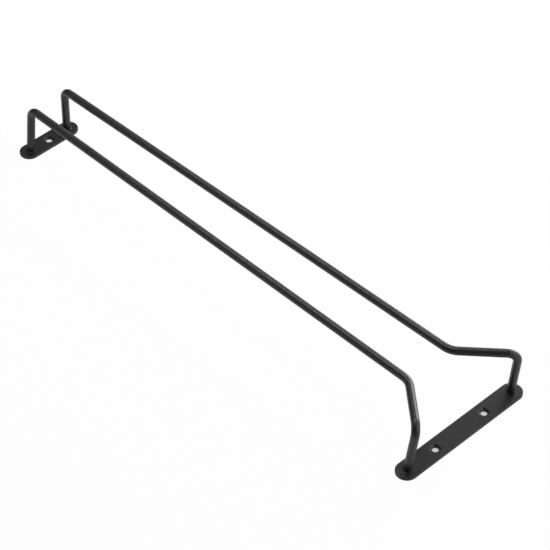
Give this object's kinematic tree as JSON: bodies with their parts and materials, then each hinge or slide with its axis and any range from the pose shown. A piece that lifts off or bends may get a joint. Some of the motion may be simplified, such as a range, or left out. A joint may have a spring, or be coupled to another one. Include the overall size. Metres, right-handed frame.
{
  "type": "wine glass rack",
  "caption": "Wire stemware rail: bent rods with a flared mouth, welded to flat countersunk screw plates, holds stemmed glasses by their feet under a shelf or cabinet.",
  "frame": {"origin": "on the mounting plane under the middle of the rack", "axes": "+Z from the mounting plane towards the rods, -Y towards the flared mouth, +X to the right seen from the mouth"},
  "size_m": [0.118, 0.432, 0.0455],
  "materials": {
    "black_coat": "satin black powder coat on steel"
  },
  "bodies": {
    "root": {"front_plate": "black_coat", "rear_plate": "black_coat", "left_rod": "black_coat", "right_rod": "black_coat", "front_left_weld": "black_coat", "front_right_weld": "black_coat", "rear_left_weld": "black_coat", "rear_right_weld": "black_coat"}
  },
  "joints": []
}
